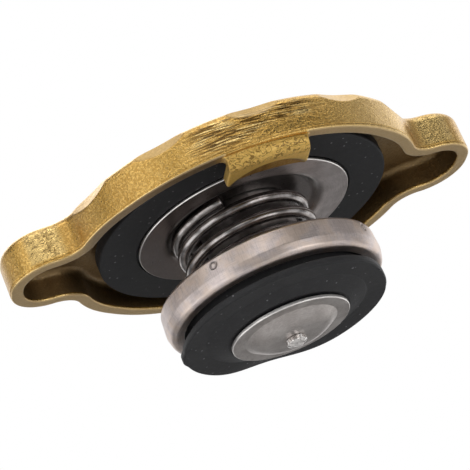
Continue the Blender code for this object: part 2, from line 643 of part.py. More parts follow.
def build():
    """Clears the scene and models the cap."""
    for obj in list(bpy.data.objects):
        bpy.data.objects.remove(obj, do_unlink=True)
    parts = new_collection("pressure_cap")
    tools = new_collection("cutters")

    gold = new_material("gold_lacquered_steel", (0.64, 0.44, 0.13), 0.38, 1.0)
    plated = new_material("zinc_plated_steel", (0.60, 0.60, 0.58), 0.35, 1.0)
    gasket_rubber = new_material("neck_gasket_rubber", (0.016, 0.017, 0.019), 0.75)
    disc_steel = new_material("spring_disc_stainless", (0.42, 0.40, 0.39), 0.32, 1.0)
    friction_steel = new_material("friction_disc_steel", (0.38, 0.37, 0.36), 0.40, 1.0)
    guide_steel = new_material("guide_steel", (0.34, 0.33, 0.32), 0.40, 1.0)
    spring_steel = new_material("spring_steel", (0.46, 0.44, 0.42), 0.24, 1.0)
    cup_steel = new_material("cup_stainless", (0.58, 0.56, 0.54), 0.36, 1.0)
    sleeve_steel = new_material("sleeve_steel", (0.50, 0.49, 0.47), 0.38, 1.0)
    washer_steel = new_material("seal_washer_steel", (0.52, 0.51, 0.50), 0.42, 1.0)
    seal_rubber = new_material("pressure_seal_rubber", (0.024, 0.025, 0.028), 0.70)
    vacuum_steel = new_material("vacuum_disc_stainless", (0.48, 0.45, 0.43), 0.34, 1.0)
    stem_steel = new_material("vacuum_stem_steel", (0.66, 0.65, 0.63), 0.25, 1.0)
    light_wire = new_material("vacuum_spring_wire", (0.55, 0.54, 0.52), 0.28, 1.0)
    clip_steel = new_material("stem_clip_steel", (0.45, 0.44, 0.43), 0.34, 1.0)

    cover_body = add_object("cover_body", None, parts)
    seal_pack = add_object("seal_pack", None, parts, cover_body)
    pressure_valve = add_object("pressure_valve", None, parts, seal_pack)
    vacuum_valve = add_object("vacuum_valve", None, parts, pressure_valve)

    make_cover(parts, tools, cover_body, gold)
    make_cover_rivet(parts, cover_body, plated)

    make_friction_disc(parts, seal_pack, friction_steel)
    make_neck_gasket(parts, seal_pack, gasket_rubber)
    make_spring_disc(parts, seal_pack, disc_steel)
    make_guide(parts, seal_pack, guide_steel)
    main_spring = coil("main_spring", main_coil_radius, MAIN_WIRE, MAIN_TURNS, MAIN_CLOSED, disc_seat_z - SEAT_GAP,
                       cup_top_z + SEAT_GAP, MAIN_CUT_ANGLE, COIL_POINTS, parts, seal_pack, spring_steel)
    main_spring.location.x = -MAIN_SHIFT

    make_pressure_cup(parts, pressure_valve, cup_steel)
    make_valve_sleeve(parts, tools, pressure_valve, sleeve_steel)
    make_seal_washer(parts, pressure_valve, washer_steel)
    make_pressure_seal(parts, pressure_valve, seal_rubber)
    coil("vacuum_spring", VACUUM_COIL_RADIUS, VACUUM_WIRE, VACUUM_TURNS, VACUUM_CLOSED, clip_z - SEAT_GAP,
         sleeve_plate_z + SEAT_GAP, 0.0, COIL_POINTS * 3 // 4, parts, pressure_valve, light_wire)

    make_vacuum_disc(parts, vacuum_valve, vacuum_steel)
    make_vacuum_stem(parts, tools, vacuum_valve, stem_steel)
    make_stem_clip(parts, tools, vacuum_valve, clip_steel)


build()
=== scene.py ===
"""The pressure cap as photographed from below: drawn gold cover, rubber seals, springs and stainless valve."""
import math

import bmesh
import bpy
import numpy as np
from mathutils import Matrix, Vector


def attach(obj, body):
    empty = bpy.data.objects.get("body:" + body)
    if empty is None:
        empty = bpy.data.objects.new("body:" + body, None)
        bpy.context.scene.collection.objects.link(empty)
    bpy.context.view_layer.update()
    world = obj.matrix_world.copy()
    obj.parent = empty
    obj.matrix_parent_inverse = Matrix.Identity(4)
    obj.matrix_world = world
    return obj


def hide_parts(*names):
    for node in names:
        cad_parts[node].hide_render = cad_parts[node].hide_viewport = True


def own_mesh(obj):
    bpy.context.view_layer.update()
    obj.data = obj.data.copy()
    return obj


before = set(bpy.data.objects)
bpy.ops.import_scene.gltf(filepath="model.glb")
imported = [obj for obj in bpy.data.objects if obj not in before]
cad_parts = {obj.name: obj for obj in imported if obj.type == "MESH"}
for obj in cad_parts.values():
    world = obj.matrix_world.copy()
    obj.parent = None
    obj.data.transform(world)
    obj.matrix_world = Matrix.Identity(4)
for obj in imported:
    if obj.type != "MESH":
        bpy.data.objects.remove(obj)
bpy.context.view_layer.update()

MM = 0.001
PHOTO_SIZE = 470


# Shape helpers. Every length in them is in millimetres; surface() turns it into metres.

WELD_DISTANCE = 1e-7  # metres
SLIVER_LENGTH = 1e-8  # metres
BEND_POINTS = 7
END_POINT = 0.06
DEAD_PITCH = 1.04
WIRE_CHAMFER = 0.08


def surface(name, points, maps=None):
    """A mesh over a grid of points, one quad to each cell of neighbouring rows and columns.

    Rows and columns that meet lie on the same points and are welded, which closes seams and poles. The faces
    are turned round where the volume that they enclose, the sum of a.(b x c)/6, comes out negative. A map
    gives each point two more numbers, kept by every face corner.
    """
    rows, columns = points.shape[:2]
    index = np.arange(rows * columns).reshape(rows, columns)
    quads = np.stack([index[:-1, :-1], index[:-1, 1:], index[1:, 1:], index[1:, :-1]], axis=-1).reshape(-1, 4)
    flat = points.reshape(-1, 3) * MM
    a, b, c, d = (flat[quads[:, i]] for i in range(4))
    volume = (a * np.cross(b, c)).sum() + (a * np.cross(c, d)).sum()
    if volume < 0:
        quads = quads[:, ::-1]
    mesh = bpy.data.meshes.new(name)
    mesh.vertices.add(len(flat))
    mesh.vertices.foreach_set("co", flat.ravel())
    mesh.loops.add(quads.size)
    mesh.loops.foreach_set("vertex_index", quads.ravel().astype(np.int32))
    mesh.polygons.add(len(quads))
    mesh.polygons.foreach_set("loop_start", np.arange(0, quads.size, 4, dtype=np.int32))
    mesh.update(calc_edges=True)
    for title, values in (maps or {}).items():
        layer = mesh.uv_layers.new(name=title)
        layer.data.foreach_set("uv", values.reshape(-1, 2)[quads.ravel()].ravel())
    welded = bmesh.new()
    welded.from_mesh(mesh)
    bmesh.ops.remove_doubles(welded, verts=welded.verts[:], dist=WELD_DISTANCE)
    bmesh.ops.dissolve_degenerate(welded, dist=SLIVER_LENGTH, edges=welded.edges[:])
    welded.to_mesh(mesh)
    welded.free()
    mesh.shade_smooth()
    piece = bpy.data.objects.new(name, mesh)
    bpy.context.scene.collection.objects.link(piece)
    return piece


def arc(centre, radius, start, end, count):
    """Points of a circle from the start angle to the end angle in degrees: centre + radius (cos, sin)."""
    angles = np.radians(np.linspace(start, end, count))
    return np.stack([centre[0] + radius * np.cos(angles), centre[1] + radius * np.sin(angles)], axis=-1)


def smooth(value, low, high):
    """The step 3t^2 - 2t^3, with t the value's share of the way from low to high."""
    t = np.clip((value - low) / (high - low), 0.0, 1.0)
    return t * t * (3.0 - 2.0 * t)


def rounded(corners, closed=True, spacing=0.5):
    """A profile through corners (radius, height, rounding).

    Each corner becomes an arc that starts a distance rounding x tan(turn / 2) before it. The straights between
    get points every spacing, and one close to each of their ends, which keeps the flats flat in the shading.
    """
    corner = np.array(corners, float)
    count = len(corner)
    bends = []
    for i in range(count):
        here, size = corner[i, :2], corner[i, 2]
        if not closed and i in (0, count - 1) or size == 0.0:
            bends.append(here[None])
            continue
        back = corner[i - 1, :2] - here
        ahead = corner[(i + 1) % count, :2] - here
        back, ahead = back / np.hypot(*back), ahead / np.hypot(*ahead)
        turn = math.pi - math.acos(np.clip(back @ ahead, -1.0, 1.0))
        reach = size * math.tan(turn / 2)
        share = np.linspace(0.0, 1.0, BEND_POINTS)[:, None]
        centre = here + (back + ahead) / np.hypot(*(back + ahead)) * math.hypot(size, reach)
        spokes = (here + back * reach - centre) * (1 - share) + (here + ahead * reach - centre) * share
        bends.append(centre + spokes / np.hypot(spokes[:, :1], spokes[:, 1:]) * size)
    profile = []
    for i in range(count):
        profile.append(bends[i])
        if closed or i < count - 1:
            start, end = bends[i][-1], bends[(i + 1) % count][0]
            length = np.hypot(*(end - start))
            inner = np.linspace(0.0, 1.0, max(int(length / spacing), 1) + 1)[1:-1]
            edge = min(END_POINT / max(length, 1e-6), 0.3)
            shares = np.unique(np.concatenate([inner, [edge, 1 - edge]]))[:, None]
            profile.append(start * (1 - shares) + end * shares)
    if closed:
        profile.append(bends[0][:1])
    return np.concatenate(profile)


def spun(name, profile, steps=224, shift=None):
    """A surface of revolution: (radius cos a, radius sin a, height) for each profile point and each angle a.

    Its map "run" holds the length round the piece and the length along the profile. A shift is a function of
    radius, angle and height that gives what is added to radius and height.
    """
    angle = np.linspace(0.0, 2.0 * math.pi, steps + 1)[None, :]
    radius = np.repeat(profile[:, :1], steps + 1, axis=1)
    height = np.repeat(profile[:, 1:], steps + 1, axis=1)
    if shift:
        out, up = shift(radius, angle, height)
        radius, height = radius + out, height + up
    points = np.stack([radius * np.cos(angle), radius * np.sin(angle), height], axis=-1)
    points[:, -1] = points[:, 0]
    along = np.concatenate([[0.0], np.hypot(*np.diff(profile, axis=0).T).cumsum()])
    run = np.stack(np.broadcast_arrays(angle * profile[:, 0].max(), along[:, None]), axis=-1)
    return surface(name, points, {"run": run})


def wound(name, centre, coil_radius, wire, turns, dead, top, bottom, start, lean=0.0, sides=24, rings=90):
    """A coil spring: a circle of the wire's radius carried along a helix that starts at its top end.

    The path is centre + coil_radius (cos a, sin a), with a = start - 2 pi turn, so it runs right-handed. It
    drops by 1.04 wires a turn over the dead turns at each end and evenly between, and its centre goes from
    half the lean below the given x at the top to half of it above at the bottom. The circle lies in the
    plane of the radial direction, made square to the path, and its cross product with the path. Both ends are
    cut flat with a chamfer of 0.08 wires. Its map "run" holds the length along the wire and round it.
    """
    flat = DEAD_PITCH * wire * dead
    turn = np.linspace(0.0, turns, int(turns * rings) + 1)
    high, low = top - wire / 2, bottom + wire / 2
    share = np.clip((turn - dead) / (turns - 2 * dead), 0.0, 1.0)
    height = high - flat * np.minimum(turn / dead, 1.0) - (high - low - 2 * flat) * share
    height -= flat * np.clip((turn - turns + dead) / dead, 0.0, 1.0)
    angle = start - 2.0 * math.pi * turn
    radial = np.stack([np.cos(angle), np.sin(angle), np.zeros_like(angle)], axis=-1)
    path = radial * coil_radius
    path[:, 2] = height
    path[:, :2] += centre
    path[:, 0] += lean * ((high - height) / (high - low) - 0.5)
    tangent = np.gradient(path, axis=0)
    tangent /= np.linalg.norm(tangent, axis=1, keepdims=True)
    across = radial - (radial * tangent).sum(axis=1, keepdims=True) * tangent
    across /= np.linalg.norm(across, axis=1, keepdims=True)
    side = np.cross(tangent, across)
    chamfer = WIRE_CHAMFER * wire
    pick = np.concatenate([[0, 0], np.arange(len(turn)), [len(turn) - 1] * 2])
    size = np.full(len(pick), wire / 2)
    size[[0, -1]] = 0.0
    size[[1, -2]] = wire / 2 - chamfer
    slide = np.zeros(len(pick))
    slide[2], slide[-3] = chamfer, -chamfer
    around = np.linspace(0.0, 2.0 * math.pi, sides + 1)[:, None]
    ring = np.cos(around) * across[pick][:, None] + np.sin(around) * side[pick][:, None]
    points = path[pick][:, None] + tangent[pick][:, None] * slide[:, None, None] + ring * size[:, None, None]
    points[:, -1] = points[:, 0]
    length = np.concatenate([[0.0], np.linalg.norm(np.diff(path, axis=0), axis=1).cumsum()])[pick]
    run = np.stack(np.broadcast_arrays(length[:, None], around[:, 0] * wire / 2), axis=-1)
    return surface(name, points, {"run": run})


# The cover. The cap's axis is Z, and the neck gasket seals at Z = 0.

COVER_HALF_X = 28.78
COVER_HALF_Y = 26.65
OVAL_FROM = 0.7
EAR_HALF = 7.42
EAR_TIP_HALF = 0.5
EAR_LONGER = 0.1
NECK_FILLET = 4.5
COVER_TOP = 5.50
COVER_RIM = -1.05
COVER_WALL = 2.05
TOP_ROUND = 1.6
CEILING = 3.50
CEILING_FILLET = 1.2
HOLE_RADIUS = 2.50

SCALLOP_ANGLES = np.radians([0.0, 32.0, 61.5])
SCALLOP_DEPTH = 1.6
SCALLOP_HALF = 5.8
SCALLOP_HEIGHT = 2.2
SCALLOP_EDGE = 0.10

TAB_HALF_SHEET = 0.8
TAB_INSET = 0.4
TAB_DROP = 2.10
TAB_BEND = 1.0
TAB_REACH = 6.45
TAB_HALF = 6.35
TAB_EDGE = 0.28
TAB_FLARE = 0.7
SCOOP_DEPTH = 0.65
SCOOP_RADIUS = 7.3
SCOOP_SLOPE = 1.2
SCOOP_CENTRE = (0.5, 16.3)


def cover_outline(count):
    """The cover's outline from above, clockwise from +Y: a circle, fillets, and an ear on each side.

    The circle is pressed in along Y by a smooth share of x, which makes the round an oval. The dense curve is
    then sampled again at even lengths. Gives the points and the directions into the cover.
    """
    neck_y = EAR_HALF + NECK_FILLET
    neck_x = math.sqrt((COVER_HALF_X + NECK_FILLET) ** 2 - neck_y ** 2)
    lean = math.degrees(math.atan2(neck_y, neck_x))
    quarter = np.concatenate([
        arc((0.0, 0.0), COVER_HALF_X, 90.0, lean, 500),
        arc((neck_x, neck_y), NECK_FILLET, 180.0 + lean, 270.0, 120)[1:],
        arc((neck_x + EAR_LONGER, EAR_TIP_HALF), EAR_HALF - EAR_TIP_HALF, 90.0, 0.0, 200),
    ])
    press = smooth(neck_x - quarter[:, 0], 0.0, neck_x - OVAL_FROM * COVER_HALF_X)
    quarter[:, 1] *= 1.0 + (COVER_HALF_Y / COVER_HALF_X - 1.0) * press
    half = np.concatenate([quarter, quarter[::-1][1:] * (1, -1)])
    whole = np.concatenate([half, -half[1:]])
    length = np.concatenate([[0.0], np.hypot(*np.diff(whole, axis=0).T).cumsum()])
    even = np.linspace(0.0, length[-1], count + 1)
    points = np.stack([np.interp(even, length, whole[:, i]) for i in (0, 1)], axis=-1)
    points[-1] = points[0]
    ahead = np.roll(points[:-1], -2, axis=0) - np.roll(points[:-1], 2, axis=0)
    inward = np.stack([ahead[:, 1], -ahead[:, 0]], axis=-1) / np.hypot(*ahead.T)[:, None]
    return points, np.concatenate([inward, inward[:1]])


def scallops(points, height):
    """How far the finger scallops cut in: depth (1 - (across / half width)^2 - below / scallop height). Across
    runs round the cover from the middle of the nearest scallop, and below runs down from the cover's top.
    """
    turn = np.arctan2(np.abs(points[:, 0]), np.abs(points[:, 1]))
    across = np.abs(turn[:, None] - SCALLOP_ANGLES).min(axis=1) * COVER_HALF_Y
    below = COVER_TOP - height[:, None]
    return SCALLOP_DEPTH * (1.0 - (across[None, :] / SCALLOP_HALF) ** 2 - below / SCALLOP_HEIGHT)


def cover_skin():
    """The drawn cover. Each row is the outline moved inwards by an inset, at one height; the rows run from the
    rivet hole out over the top, down the outer side with its scallops, under the rim with the fine groove
    above it, up the inner side, and back along the ceiling. On the top and ceiling a row is a mean of the
    moved outline and the hole's circle. A scallop takes the place of the inset where it is deeper.

    Its map "marks" holds the share of a scallop's face, and the rim's wear, which is -1 on the inside.
    """
    outline, inward = cover_outline(660)
    turn = np.arctan2(outline[:, 1], outline[:, 0])
    hole = HOLE_RADIUS * np.stack([np.cos(turn), np.sin(turn)], axis=-1)
    # Each row is (inset, height, share of the hole's circle), and the side has no such share
    to_hole = np.array([1.0, 0.985, 0.93, 0.8, 0.65, 0.5, 0.35, 0.2, 0.1, 0.03])
    same = np.ones_like(to_hole)
    top = np.stack([TOP_ROUND * same, COVER_TOP * same, to_hole], axis=-1)
    ceiling = np.stack([(COVER_WALL + CEILING_FILLET) * same, CEILING * same, to_hole[::-1]], axis=-1)
    crown = arc((TOP_ROUND, COVER_TOP - TOP_ROUND), TOP_ROUND, 90.0, 140.0, 16)
    wall_z = np.concatenate([np.linspace(crown[-1, 1] - 0.09, 3.1, 16), np.linspace(2.7, -0.30, 9)])
    lift = np.clip(wall_z - (COVER_TOP - TOP_ROUND), 0.0, TOP_ROUND)
    wall = np.stack([TOP_ROUND - np.sqrt(TOP_ROUND ** 2 - lift ** 2), wall_z], axis=-1)
    groove = [(0.0, -0.42), (0.03, -0.47), (0.11, -0.52), (0.13, -0.56), (0.11, -0.60), (0.04, -0.65)]
    rim = np.concatenate([
        arc((0.38, COVER_RIM + 0.34), 0.34, 180.0, 270.0, 7),
        [(0.75, COVER_RIM - 0.01), (1.15, COVER_RIM), (1.5, COVER_RIM)],
        arc((1.72, COVER_RIM + 0.3), 0.3, 270.0, 360.0, 6),
    ])
    rim[:, 0] = np.minimum(rim[:, 0], COVER_WALL)
    inner = np.stack([np.full(9, COVER_WALL), np.linspace(-0.6, CEILING - CEILING_FILLET, 9)], axis=-1)
    fillet = arc((COVER_WALL + CEILING_FILLET, CEILING - CEILING_FILLET), CEILING_FILLET, 180.0, 90.0, 9)
    side = np.concatenate([crown, wall, groove, rim, inner, fillet[1:]])
    side = np.concatenate([side, np.zeros((len(side), 1))], axis=1)
    rows = np.concatenate([top, side, ceiling, top[:1]])
    inset, height, share = (np.repeat(rows[:, i:i + 1], len(outline), axis=1) for i in range(3))
    number = np.arange(len(rows))[:, None]
    outer = number < len(top) + len(crown) + len(wall)
    outside = number < len(top) + len(crown) + len(wall) + len(groove) + len(rim)
    # The larger of inset and cut, with the edge between them eased
    cut = np.where(outer, scallops(outline, rows[:, 1]), -1.0)
    deeper = 0.5 * (inset + cut + np.sqrt((inset - cut) ** 2 + SCALLOP_EDGE ** 2) - SCALLOP_EDGE)
    deeper = np.where(outer & (share < 0.5), np.maximum(deeper, inset), inset)
    plan = outline[None] + inward[None] * deeper[..., None]
    plan = plan * (1.0 - share[..., None]) + hole[None] * share[..., None]
    points = np.concatenate([plan, height[..., None]], axis=-1)
    points[:, -1] = points[:, 0]
    # The rim is worn from 0.8 below the gasket's plane on, but not where the tabs come out of it
    worn = smooth(-height, 0.80, 1.0) * smooth(np.abs(outline[:, 0]), 6.2, 7.0)
    face = np.clip((cut - inset) / 0.25, 0.0, 1.0)
    return surface("cover_skin", points, {"marks": np.stack([face, np.where(outside, worn, -1.0)], axis=-1)})


def cover_tab(name, side):
    """A bayonet tab: a sheet 1.6 thick round a middle line that comes down inside the cover's wall, bends on a
    radius of 1.0 and runs inwards. The line is bent to the cover's curve, y = side sqrt(r^2 - x^2), its edges
    are rounded by 0.28, it widens by a fillet of 0.7 where it leaves the rim, and its underside is coined away
    by up to 0.65 inside a circle of radius 7.3 that lies off the tab's inner edge. The tip's corners are
    rounded, by 1.0 on one side and less on the other.

    Its map "marks" holds 0.7 on the cut edges, and the coined depth, which is below 0 as on the cover's inside.
    """
    half, edge = TAB_HALF_SHEET, TAB_EDGE
    under = COVER_RIM - TAB_DROP
    outer, tip = COVER_HALF_Y - TAB_INSET, COVER_HALF_Y - TAB_REACH
    turn = half + TAB_BEND
    quarter = np.radians(np.linspace(0.0, 90.0, 7))
    # Along the tab: the middle line as (distance from the axis, height), the way its outer and then lower side
    # faces, and half its thickness, which goes to nothing at the start and round a quarter circle at the tip
    down = np.stack([np.full(14, outer - half), np.linspace(0.4, under + turn + 0.1, 14)], axis=-1)
    bend = arc((outer - turn, under + turn), TAB_BEND, 0.0, -90.0, 13)
    flat = np.stack([np.linspace(outer - turn - 0.1, tip + edge, 34), np.full(34, under + half)], axis=-1)
    grow = np.concatenate([edge * np.sin(quarter), [edge, edge, edge]])
    thin = np.concatenate([half - edge + edge * np.cos(quarter), [0.35, 0.15, 0.0]])
    end = flat[-1] - np.stack([grow, np.zeros_like(grow)], axis=-1)
    middle = np.concatenate([down[:1], down, bend, flat[:-1], end])
    facing = np.concatenate([np.tile((1.0, 0.0), (len(down) + 1, 1)), arc((0.0, 0.0), 1.0, 0.0, -90.0, 13),
                             np.tile((0.0, -1.0), (len(flat) - 1 + len(end), 1))])
    thick = np.concatenate([[0.0], np.full(len(middle) - len(thin) - 1, half), thin])
    below = COVER_RIM - middle[:, 1]
    flare = TAB_FLARE - np.sqrt(TAB_FLARE ** 2 - np.clip(TAB_FLARE - below, 0.0, TAB_FLARE) ** 2)
    ease = np.where(middle[:, 1] < under + half + 0.01, np.clip(1.0 - (middle[:, 0] - tip), 0.0, 1.0), 0.0)
    corner = 1.0 - np.sqrt(1.0 - ease ** 2)
    wide = TAB_HALF - edge + flare
    # Round the section: along the lower sheet and round one edge, then the same on the other side
    sheet = np.linspace(-1.0, 1.0, 49)
    round_out = np.concatenate([edge * np.sin(quarter[1:]), [edge, edge]])
    round_up = np.concatenate([half - edge + edge * np.cos(quarter[1:]), [0.26, 0.0]]) / half
    lower = np.stack([
        np.concatenate([sheet, np.ones(2 * len(round_out))]),
        np.concatenate([np.zeros_like(sheet), round_out, round_out[::-1]]),
        np.concatenate([np.ones_like(sheet), round_up, -round_up[::-1]]),
    ])
    unit, extra, level = np.concatenate([lower, -lower, lower[:, :1]], axis=1)
    reach = np.where(unit < 0, (wide - corner)[:, None], (wide - 0.25 * corner)[:, None])
    across = unit * reach + extra
    off = thick[:, None] * level
    radius = middle[:, :1] + facing[:, :1] * off
    height = middle[:, 1:] + facing[:, 1:] * off
    depth = np.sqrt(radius ** 2 - across ** 2)
    from_scoop = np.hypot(across - SCOOP_CENTRE[0], depth - SCOOP_CENTRE[1])
    scoop = SCOOP_DEPTH * np.clip((SCOOP_RADIUS - from_scoop) / SCOOP_SLOPE, 0.0, 1.0)
    scoop = scoop * np.clip(level, 0.0, 1.0) * smooth(-facing[:, 1:], 0.8, 1.0)
    height = height + scoop * (thick[:, None] / half)
    points = np.stack([-across * side, depth * side, height], axis=-1)
    points[:, -1] = points[:, 0]
    cut_edge = (np.abs(unit) == 1.0) & (np.abs(level) < 0.9)
    marks = np.stack(np.broadcast_arrays(0.7 * cut_edge, -0.45 * scoop), axis=-1)
    return surface(name, points, {"marks": marks})


# Shader maths

class Term:
    """A shader socket that can be used in arithmetic: every operator adds the Math node that works it out."""

    def __init__(self, graph, socket):
        self.graph = graph
        self.socket = socket

    def math(self, operation, first, second=0.0):
        return self.graph.node("ShaderNodeMath", {"operation": operation}, {0: first, 1: second})

    def __add__(self, other):
        return self.math("ADD", self, other)

    def __radd__(self, other):
        return self.math("ADD", other, self)

    def __sub__(self, other):
        return self.math("SUBTRACT", self, other)

    def __rsub__(self, other):
        return self.math("SUBTRACT", other, self)

    def __mul__(self, other):
        return self.math("MULTIPLY", self, other)

    def __rmul__(self, other):
        return self.math("MULTIPLY", other, self)

    def __abs__(self):
        return self.math("ABSOLUTE", self)


class Graph:
    """The nodes of a material or of the world."""

    def __init__(self, owner):
        owner.use_nodes = True
        self.tree = owner.node_tree

    def node(self, kind, settings=None, inputs=None, output=0):
        """Any node: its settings first, then a value or a term for each of its sockets."""
        made = self.tree.nodes.new(kind)
        for title, value in (settings or {}).items():
            setattr(made, title, value)
        for title, value in (inputs or {}).items():
            if isinstance(value, Term):
                self.tree.links.new(value.socket, made.inputs[title])
            else:
                made.inputs[title].default_value = value
        return Term(self, made.outputs[output])

    def parts(self, vector):
        """The three components of a vector."""
        split = self.node("ShaderNodeSeparateXYZ", inputs={0: vector}).socket.node
        return [Term(self, socket) for socket in split.outputs]

    def vector(self, x, y, z):
        """A vector from three terms or numbers."""
        return self.node("ShaderNodeCombineXYZ", inputs={0: x, 1: y, 2: z})

    def noise(self, where, scale, detail=2.0, roughness=0.5, distortion=0.0):
        """Noise from 0 to 1, with scale waves to a unit of where."""
        return self.node("ShaderNodeTexNoise", inputs={"Vector": where, "Scale": scale, "Detail": detail,
                                                       "Roughness": roughness, "Distortion": distortion})

    def step(self, value, low, high):
        """A smooth step from 0 at low to 1 at high."""
        return self.node("ShaderNodeMapRange", {"interpolation_type": "SMOOTHSTEP"},
                         {"Value": value, "From Min": low, "From Max": high})

    def band(self, value, rise, fall):
        """The product of two smooth steps, each given by where it is 0 and where it is 1."""
        return self.step(value, *rise) * self.step(value, *fall)

    def mix(self, first, second, share):
        """One colour blended into another by a share."""
        colours = [value if isinstance(value, Term) else (*value, 1.0) for value in (first, second)]
        return self.node("ShaderNodeMix", {"data_type": "RGBA"}, {0: share, 6: colours[0], 7: colours[1]},
                         output=2)


class Finish(Graph):
    """A Principled material that is put together from terms, with positions in millimetres."""

    def __init__(self, name, **constants):
        self.material = bpy.data.materials.new(name)
        super().__init__(self.material)
        self.shader = self.tree.nodes["Principled BSDF"]
        for title, value in constants.items():
            self.shader.inputs[title.replace("_", " ")].default_value = value
        place = self.node("ShaderNodeTexCoord", output="Object")
        self.place = self.node("ShaderNodeVectorMath", {"operation": "SCALE"}, {0: place, "Scale": 1.0 / MM})
        self.x, self.y, self.z = self.parts(self.place)

    def uv(self, name):
        """The two numbers of one of the piece's maps."""
        return self.parts(self.node("ShaderNodeUVMap", {"uv_map": name}))[:2]

    def turn(self):
        """The angle round the axis in radians, from +X towards +Y."""
        return self.x.math("ARCTAN2", self.y, self.x)

    def away(self, x=0.0, y=0.0):
        """The distance from the upright line through x, y."""
        flat = self.vector(self.x - x, self.y - y, 0.0)
        return self.node("ShaderNodeVectorMath", {"operation": "LENGTH"}, {0: flat}, output="Value")

    def around(self, coarse, fine, along):
        """Where a point lies for marks that run round the axis: its direction times coarse and its length
        along the profile times fine."""
        flat = self.vector(self.x, self.y, 0.0)
        x, y, _ = self.parts(self.node("ShaderNodeVectorMath", {"operation": "NORMALIZE"}, {0: flat}))
        return self.vector(x * coarse, y * coarse, along * fine)

    def finish(self, height=None, **values):
        """Joins terms to the shader's sockets, and a height in millimetres to its normal."""
        for title, value in values.items():
            self.tree.links.new(value.socket, self.shader.inputs[title.replace("_", " ")])
        if height:
            bump = self.node("ShaderNodeBump", inputs={"Strength": 1.0, "Distance": MM, "Height": height})
            self.tree.links.new(bump.socket, self.shader.inputs["Normal"])
        return self.material


# Finishes. Places and heights in them are in millimetres, angles round the axis in degrees.

STRUCK_ANGLE = -129.0
STRUCK_OUT = 17.45
STRUCK_HEIGHT = -11.65
STRUCK_RADIUS = 0.5


